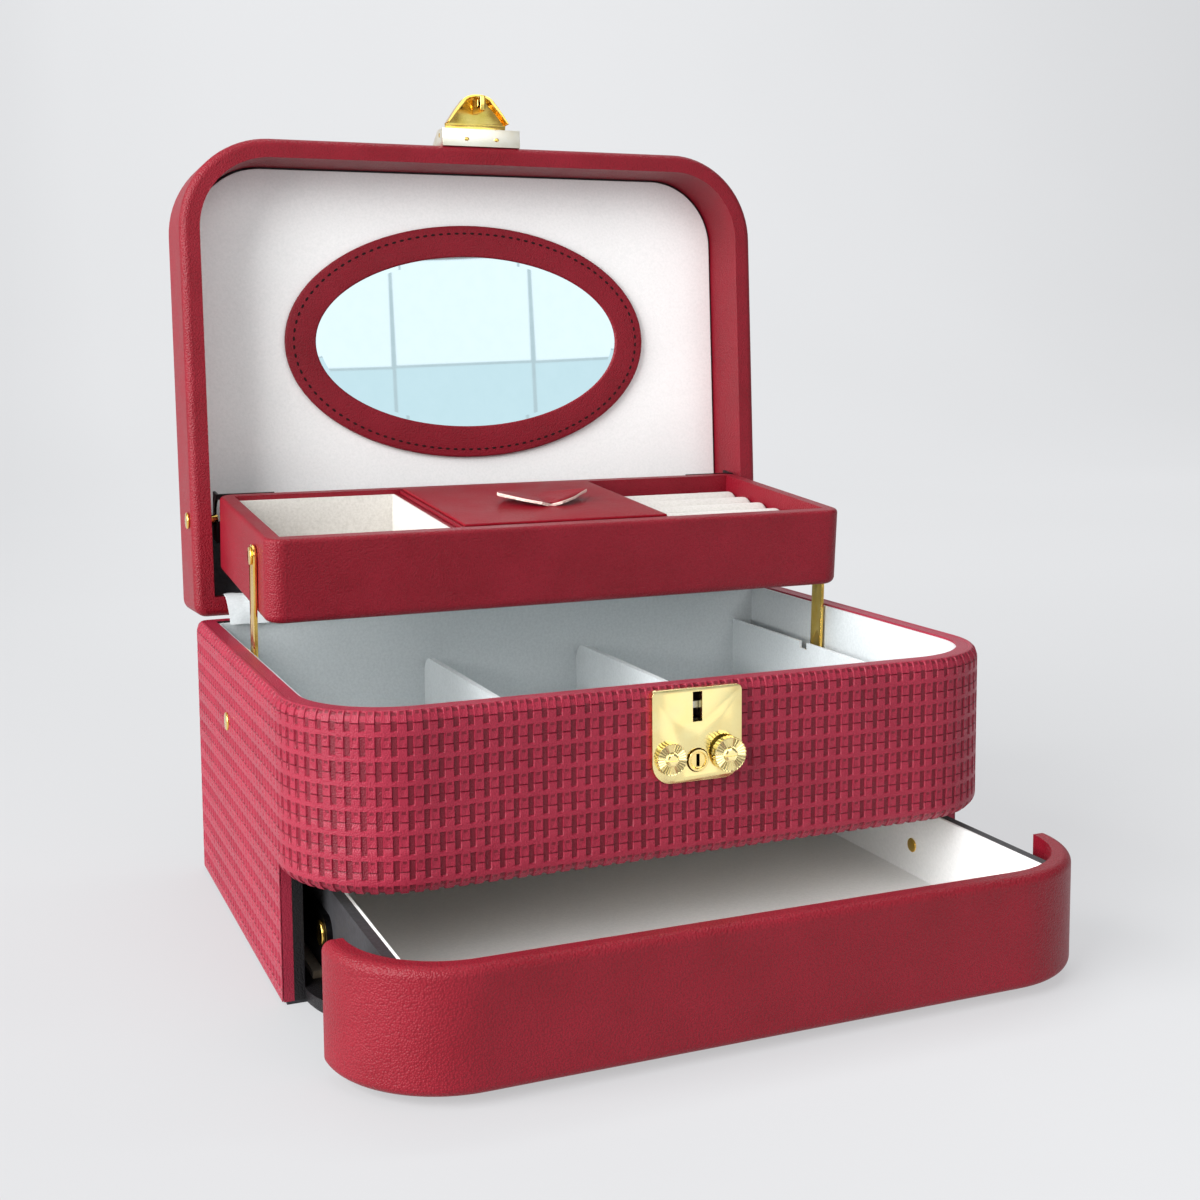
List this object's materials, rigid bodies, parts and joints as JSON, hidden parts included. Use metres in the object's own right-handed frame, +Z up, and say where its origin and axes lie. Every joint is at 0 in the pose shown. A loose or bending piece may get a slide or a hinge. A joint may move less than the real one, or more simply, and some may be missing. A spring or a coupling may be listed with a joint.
{
  "type": "jewellery case",
  "caption": "Leather-covered jewellery case with hinged mirror lid, lever-raised tray, coupled drawer, lock plate and hasp, shown open.",
  "frame": {"origin": "centre of the closed case's footprint, on the table under the sole", "axes": "+Z up, front and drawer face -Y, +X to the right seen from the front"},
  "size_m": [0.2624, 0.3004, 0.3217],
  "materials": {
    "embossed_leather": "red leather embossed with a small brick-like weave",
    "smooth_leather": "fine-grained red leather, satin",
    "pale_lining": "warm white flocked lining",
    "black_cloth": "black coated cloth",
    "board": "plain fibreboard",
    "brass": "polished gold-coloured brass",
    "steel": "plain steel",
    "black_steel": "black lacquer",
    "mirror": "silvered glass"
  },
  "bodies": {
    "base": {"base_sole": "black_cloth", "base_floor_board": "embossed_leather", "front_band": "embossed_leather", "back_wall": "embossed_leather", "left_side_wall": "embossed_leather", "right_side_wall": "embossed_leather", "compartment_shelf": "board", "shelf_lining": "pale_lining", "wall_lining": "pale_lining", "left_channel_panel": "pale_lining", "right_channel_panel": "pale_lining", "left_divider": "pale_lining", "right_divider": "pale_lining", "drawer_guides": "board", "lever_rivets": "brass", "base_hinge_leaf": "brass", "hinge_pin": "brass", "base_hinge_screws": "brass", "lock_plate": "brass", "left_rosette": "brass"},
    "lid": {"lid_frame": "smooth_leather", "lid_top_panel": "smooth_leather", "lid_lining": "pale_lining", "lid_gusset": "black_cloth", "mirror_frame": "smooth_leather", "mirror_glass": "mirror", "lid_hinge_leaf": "brass", "lid_hinge_screws": "brass", "hasp_housing": "brass", "hasp_pin": "brass", "lid_tray_pins": "brass"},
    "flap": {"hasp_flap": "brass", "hasp_staple": "steel"},
    "tray": {"tray_frame": "smooth_leather", "tray_floor": "pale_lining", "left_tray_divider": "smooth_leather", "right_tray_divider": "smooth_leather", "left_well_lining": "pale_lining", "ring_rolls": "pale_lining", "tray_studs": "brass", "tray_ears": "black_steel"},
    "cover": {"cover_frame": "smooth_leather", "cover_cushion": "smooth_leather", "lift_tab": "smooth_leather"},
    "left_lever": {"left_lever": "brass", "left_drive_pin": "steel"},
    "right_lever": {"right_lever": "brass", "right_drive_pin": "steel"},
    "drawer": {"drawer_front": "smooth_leather", "left_drawer_side": "black_cloth", "right_drawer_side": "black_cloth", "drawer_back": "black_cloth", "drawer_base": "board", "drawer_lining": "pale_lining", "drawer_arms": "black_steel", "drawer_rivets": "brass"},
    "button": {"release_button": "brass"},
    "catch": {"lock_catch": "steel"},
    "key": {"key_cylinder": "brass"}
  },
  "joints": [
    {"name": "lid_hinge", "type": "hinge", "parent": "base", "child": "lid", "pos_m": [0, 0.0985, 0.10275], "axis": [1, 0, 0], "range_deg": [0, 93]},
    {"name": "left_lever_turn", "type": "hinge", "parent": "base", "child": "left_lever", "pos_m": [-0.12, 0.0283, 0.0755], "axis": [1, 0, 0], "range_deg": [0, 52.91]},
    {"name": "right_lever_turn", "type": "hinge", "parent": "base", "child": "right_lever", "pos_m": [0.12, 0.0283, 0.0755], "axis": [1, 0, 0], "range_deg": [0, 52.91]},
    {"name": "tray_turn", "type": "hinge", "parent": "left_lever", "child": "tray", "pos_m": [-0.12, 0.02517, 0.13717], "axis": [1, 0, 0], "range_deg": [-57.61, 0]},
    {"name": "drawer_slide", "type": "slide", "parent": "base", "child": "drawer", "axis": [0, 1, 0], "range_m": [0, 0.05571]},
    {"name": "flap_swing", "type": "hinge", "parent": "lid", "child": "flap", "pos_m": [0, 0.11529, 0.30365], "axis": [1, 0, 0], "range_deg": [0, 90]},
    {"name": "cover_lift", "type": "slide", "parent": "tray", "child": "cover", "axis": [0, -0.0819, 0.9966], "range_m": [0, 0.003]},
    {"name": "release_press", "type": "slide", "parent": "base", "child": "button", "axis": [0, 1, 0], "range_m": [0, 0.0016], "stiffness_N_per_m": 400},
    {"name": "catch_slide", "type": "slide", "parent": "base", "child": "catch", "axis": [1, 0, 0], "range_m": [0, 0.00221]},
    {"name": "key_turn", "type": "hinge", "parent": "base", "child": "key", "pos_m": [0, -0.1, 0.0775], "axis": [0, 1, 0], "range_deg": [0, 90]}
  ],
  "couplings": [
    {"joint": "left_lever_turn", "follows": "lid_hinge", "ratio": 0.56883},
    {"joint": "right_lever_turn", "follows": "lid_hinge", "ratio": 0.56883},
    {"joint": "tray_turn", "follows": "lid_hinge", "ratio": -0.61937},
    {"joint": "drawer_slide", "follows": "lid_hinge", "m_per_rad": 0.034316},
    {"joint": "catch_slide", "follows": "release_press", "ratio": 1.375}
  ]
}
